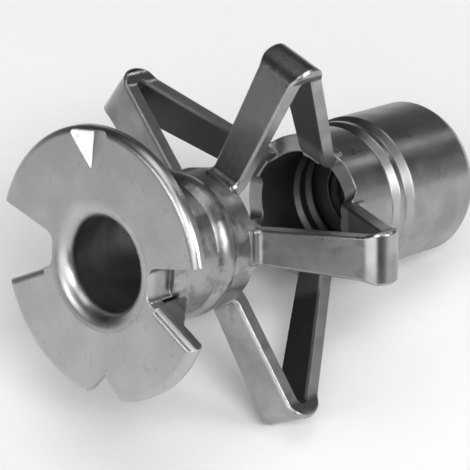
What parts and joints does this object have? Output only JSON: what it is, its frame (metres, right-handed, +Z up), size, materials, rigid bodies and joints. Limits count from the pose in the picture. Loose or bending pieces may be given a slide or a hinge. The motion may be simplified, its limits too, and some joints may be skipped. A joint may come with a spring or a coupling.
{
  "type": "hollow wall anchor",
  "caption": "Metal hollow wall anchor, expanded: slotted flange, collar, outward folded legs in a star and a threaded rear barrel.",
  "frame": {"origin": "centre of the bounding box at the level of the table that the anchor lies on", "axes": "+X from the flange towards the rear barrel, level; the anchor's own axis drops by 19 degrees towards the barrel; +Z up"},
  "size_m": [0.0364, 0.027, 0.025],
  "materials": {
    "plated_sleeve": "bright zinc plate",
    "plated_nut": "dull zinc plate"
  },
  "bodies": {
    "root": {"sleeve": "plated_sleeve", "nut": "plated_nut"}
  },
  "joints": []
}
